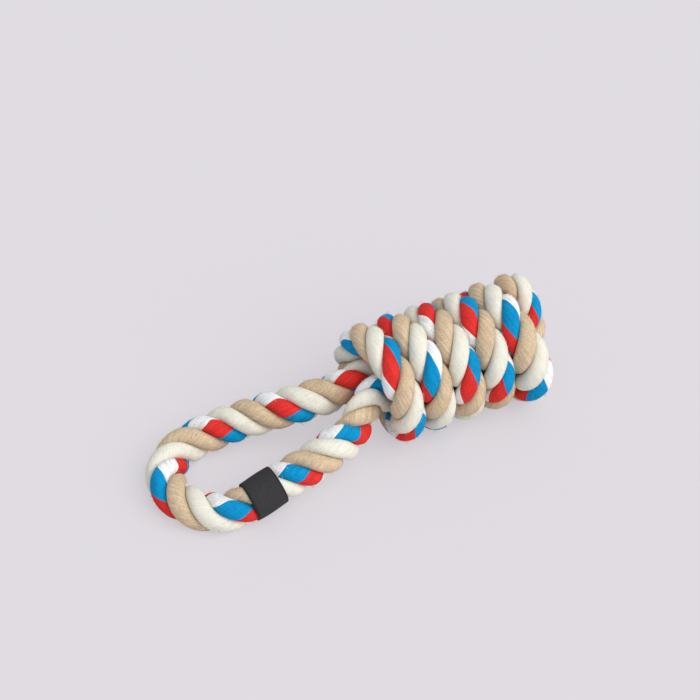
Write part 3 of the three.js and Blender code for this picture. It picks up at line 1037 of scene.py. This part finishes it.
def seam_points():
    count = 2 * SEAM_STITCHES
    share = np.linspace(SEAM_INSET, LABEL_LENGTH - SEAM_INSET, count + 1) / LABEL_LENGTH
    swing = np.where(np.arange(count + 1) % 2, 0.5, -0.5) * SEAM_WIDTH / BAND_RADIUS
    angle = SEAM_SIDE + swing
    height = np.array([band_height(a, b) for a, b in zip(share, angle)]) + SEAM_THREAD / 2
    return round_rope(LABEL_PLACE + (share - 0.5) * LABEL_LENGTH, angle, height)


def whipping_points(start, end):
    share = np.linspace(0, 1, WHIP_TURNS * WHIP_POINTS_PER_TURN + 1)
    distance = start + (end - start) * share
    angle = (TAU * WHIP_TURNS * share)[:, None]
    lift = 1 + WHIP_THREAD / np.interp(distance, along, radius)
    arm = at(first_arm, distance) * np.cos(angle) + at(second_arm, distance) * np.sin(angle)
    return (at(point, distance) + ORIGIN + arm * lift[:, None]) * MM


seam = thread_along("band_seam", seam_points(), SEAM_THREAD, black_thread)
whipping_ends = {
    "core_whipping": (WHIP_EDGE, WHIP_LENGTH - WHIP_EDGE),
    "tail_whipping": (ROPE_LENGTH - WHIP_LENGTH + WHIP_EDGE, ROPE_LENGTH - WHIP_EDGE),
}
whippings = {
    node: thread_along(f"{node}_thread", whipping_points(*ends), WHIP_THREAD, whipping_cotton)
    for node, ends in whipping_ends.items()
}

# %% [markdown]
# ## Riding on the solids
# Every dressed piece now hides the solid that it stands for, and most ride on the body that carries them.
# The loop's rope and its fibres go over from the knot to the loop along the necks, so they stay where
# they lie.


def strands(*parts):
    return [f"{part}_{colour}_strand" for part in parts for colour in SLOTS]


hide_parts(*strands("front_neck", "loop", "back_neck"))
for piece in (loop_rope, *loop_fibres.values()):
    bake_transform(piece)
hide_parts(*strands("core"))
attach(core_rope, "knot")
for colour in SLOTS:
    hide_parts(f"knot_{colour}_strand")
    for piece in (windings[colour], knot_fibres[colour]):
        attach(piece, "knot")
for node, piece in whippings.items():
    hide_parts(node)
    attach(piece, "knot")
for piece, node in ((band, "label_band"), (seam, "label_seam_thread")):
    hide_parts(node)
    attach(piece, "loop")

# %% Lengths of the loop's rope and the band
print(f"cord: {loop_to - loop_from:.0f} mm of rope; sheet: {LABEL_LENGTH} mm of tape")

# %% [markdown]
# ## Light and floor
# The toy lies on a pale matt surface under soft studio light. A wide sun lamp from the front right
# lights the floor evenly all over and still gives a soft shadow, and pale surroundings fill the rest.
# The lamp is a little warm and the fill a little cool, as in a studio with a window. A floor this pale
# would need more light than the cotton can take, so to the camera it glows by itself and only a share
# of its real light and shadow shows. Beyond its edge the surroundings show the camera the same colour.

# %% Floor
FLOOR_COLOUR = (0.672, 0.640, 0.669, 1)
FLOOR_GLOW = (0.745, 0.717, 0.757, 1)
FLOOR_ROUGHNESS = 0.9
FLOOR_SPECULAR = 0.1
FLOOR_REACH = 40
SHADOW_SHARE = 0.35


def pale_floor():
    material, tree, shader = principled("pale_floor", FLOOR_ROUGHNESS, FLOOR_SPECULAR)
    shader.inputs["Base Color"].default_value = FLOOR_COLOUR
    seen = tree.node("ShaderNodeLightPath", output="Is Camera Ray")
    glow = tree.node("ShaderNodeEmission", None, {"Color": FLOOR_GLOW, "Strength": 1.0})
    lit = Wire(tree, shader.outputs["BSDF"])
    mixed = tree.node("ShaderNodeMixShader", None, {0: seen * (1 - SHADOW_SHARE), 1: lit, 2: glow})
    connect(tree, material.node_tree.nodes["Material Output"], "Surface", mixed)
    return material


floor_corners = [(x * FLOOR_REACH, y * FLOOR_REACH, 0) for x, y in ((-1, -1), (1, -1), (1, 1), (-1, 1))]
floor_mesh = bpy.data.meshes.new("floor")
floor_mesh.from_pydata(floor_corners, [], [(0, 1, 2, 3)])
floor_mesh.materials.append(pale_floor())
floor = placed("floor", floor_mesh)
print("floor:", 2 * FLOOR_REACH, "m wide")

# %% Lights
SUN_FROM = Vector((0.6, -1.0, 1.3))
SUN_STRENGTH = 2.25
SUN_WIDTH = math.radians(60)
SUN_COLOUR = (1, 0.975, 0.94)
FILL_STRENGTH = 0.6
FILL_COLOUR = (0.96, 1, 1.05, 1)

sun_data = bpy.data.lights.new("studio_light", "SUN")
sun_data.energy = SUN_STRENGTH
sun_data.color = SUN_COLOUR
sun_data.angle = SUN_WIDTH
sun = placed("studio_light", sun_data)
sun.rotation_euler = (-SUN_FROM).to_track_quat("-Z", "Y").to_euler()
world = bpy.data.worlds.new("studio")
bpy.context.scene.world = world
world.use_nodes = True
world.node_tree.nodes.clear()
studio = Tree(world.node_tree)
fill = studio.node("ShaderNodeBackground", None, {"Color": FILL_COLOUR, "Strength": FILL_STRENGTH})
backdrop = studio.node("ShaderNodeBackground", None, {"Color": FLOOR_GLOW, "Strength": 1.0})
seen = studio.node("ShaderNodeLightPath", output="Is Camera Ray")
both = studio.node("ShaderNodeMixShader", None, {0: seen, 1: fill, 2: backdrop})
studio.node("ShaderNodeOutputWorld", None, {"Surface": both})
bpy.context.scene.view_settings.view_transform = "Standard"
print("light: one sun lamp and the surroundings")
